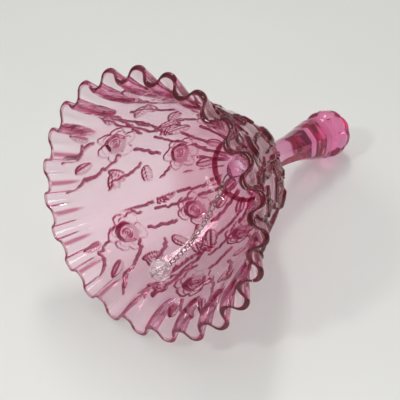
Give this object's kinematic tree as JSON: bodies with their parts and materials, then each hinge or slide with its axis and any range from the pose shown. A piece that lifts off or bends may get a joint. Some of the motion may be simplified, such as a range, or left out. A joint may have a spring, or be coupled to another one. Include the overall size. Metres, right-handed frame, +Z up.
{
  "type": "glass hand bell",
  "caption": "Pressed pink glass hand bell with a crimped mouth, rose relief, panelled neck and round knob, lying on its side with a chain and bead clapper inside.",
  "frame": {"origin": "centre of the outer box in X and Y, on the table the bell lies on", "axes": "+Z up from the table; +X from the crimped mouth towards the knob along the table; Y across the bell"},
  "size_m": [0.1768, 0.119, 0.1139],
  "materials": {
    "pink_glass": "gloss",
    "clear_glass": "gloss",
    "silver_wire": "satin"
  },
  "bodies": {
    "bell": {"glass_bell": "pink_glass", "hanger_dab": "clear_glass", "wire_staple": "silver_wire"},
    "link_01": {"chain_link_01": "silver_wire"},
    "link_02": {"chain_link_02": "silver_wire"},
    "link_03": {"chain_link_03": "silver_wire"},
    "link_04": {"chain_link_04": "silver_wire"},
    "link_05": {"chain_link_05": "silver_wire"},
    "link_06": {"chain_link_06": "silver_wire"},
    "link_07": {"chain_link_07": "silver_wire"},
    "link_08": {"chain_link_08": "silver_wire"},
    "link_09": {"chain_link_09": "silver_wire"},
    "link_10": {"chain_link_10": "silver_wire"},
    "link_11": {"chain_link_11": "silver_wire"},
    "link_12": {"chain_link_12": "silver_wire"},
    "link_13": {"chain_link_13": "silver_wire"},
    "link_14": {"chain_link_14": "silver_wire"},
    "link_15": {"chain_link_15": "silver_wire"},
    "link_16": {"chain_link_16": "silver_wire"},
    "link_17": {"chain_link_17": "silver_wire"},
    "clapper": {"bead_pin": "silver_wire", "clapper_bead": "clear_glass"}
  },
  "joints": [
    {"name": "link_01_sway", "type": "hinge", "parent": "bell", "child": "link_01", "pos_m": [-0.01688, 0, 0.03631], "axis": [0.9579, 0, -0.2872], "range_deg": [-20, 20]},
    {"name": "link_02_lift", "type": "hinge", "parent": "link_01", "child": "link_02", "pos_m": [-0.01845, 0, 0.03411], "axis": [0, 1, 0], "range_deg": [0, 25]},
    {"name": "link_03_sway", "type": "hinge", "parent": "link_02", "child": "link_03", "pos_m": [-0.02014, 0, 0.03202], "axis": [-0.9579, 0, 0.2872], "range_deg": [-15, 15]},
    {"name": "link_04_lift", "type": "hinge", "parent": "link_03", "child": "link_04", "pos_m": [-0.02195, 0, 0.03001], "axis": [0, -1, 0], "range_deg": [-20, 0]},
    {"name": "link_05_sway", "type": "hinge", "parent": "link_04", "child": "link_05", "pos_m": [-0.02387, 0, 0.02812], "axis": [0.9579, 0, -0.2872], "range_deg": [-15, 15]},
    {"name": "link_06_lift", "type": "hinge", "parent": "link_05", "child": "link_06", "pos_m": [-0.02589, 0, 0.02633], "axis": [0, 1, 0], "range_deg": [0, 20]},
    {"name": "link_07_sway", "type": "hinge", "parent": "link_06", "child": "link_07", "pos_m": [-0.02801, 0, 0.02466], "axis": [-0.9579, 0, 0.2872], "range_deg": [-15, 15]},
    {"name": "link_08_lift", "type": "hinge", "parent": "link_07", "child": "link_08", "pos_m": [-0.03022, 0, 0.02312], "axis": [0, -1, 0], "range_deg": [-20, 0]},
    {"name": "link_09_sway", "type": "hinge", "parent": "link_08", "child": "link_09", "pos_m": [-0.03251, 0, 0.0217], "axis": [-0.4771, 0, 0.8789], "range_deg": [-10, 10]},
    {"name": "link_10_lift", "type": "hinge", "parent": "link_09", "child": "link_10", "pos_m": [-0.03488, 0, 0.02041], "axis": [0, 1, 0], "range_deg": [0, 20]},
    {"name": "link_11_sway", "type": "hinge", "parent": "link_10", "child": "link_11", "pos_m": [-0.03732, 0, 0.01926], "axis": [0.3749, 0, -0.927], "range_deg": [-10, 10]},
    {"name": "link_12_lift", "type": "hinge", "parent": "link_11", "child": "link_12", "pos_m": [-0.03982, 0, 0.01825], "axis": [0, -1, 0], "range_deg": [-20, 0]},
    {"name": "link_13_sway", "type": "hinge", "parent": "link_12", "child": "link_13", "pos_m": [-0.04238, 0, 0.01738], "axis": [-0.2681, 0, 0.9634], "range_deg": [-10, 10]},
    {"name": "link_14_lift", "type": "hinge", "parent": "link_13", "child": "link_14", "pos_m": [-0.04498, 0, 0.01666], "axis": [0, 1, 0], "range_deg": [0, 20]},
    {"name": "link_15_sway", "type": "hinge", "parent": "link_14", "child": "link_15", "pos_m": [-0.04761, 0, 0.01608], "axis": [0.1577, 0, -0.9875], "range_deg": [-10, 10]},
    {"name": "link_16_lift", "type": "hinge", "parent": "link_15", "child": "link_16", "pos_m": [-0.05028, 0, 0.01566], "axis": [0, -1, 0], "range_deg": [-20, 0]},
    {"name": "link_17_sway", "type": "hinge", "parent": "link_16", "child": "link_17", "pos_m": [-0.05296, 0, 0.01538], "axis": [-0.0454, 0, 0.999], "range_deg": [-10, 10]},
    {"name": "clapper_lift", "type": "hinge", "parent": "link_17", "child": "clapper", "pos_m": [-0.05566, 0, 0.01526], "axis": [0, 1, 0], "range_deg": [0, 20]}
  ]
}
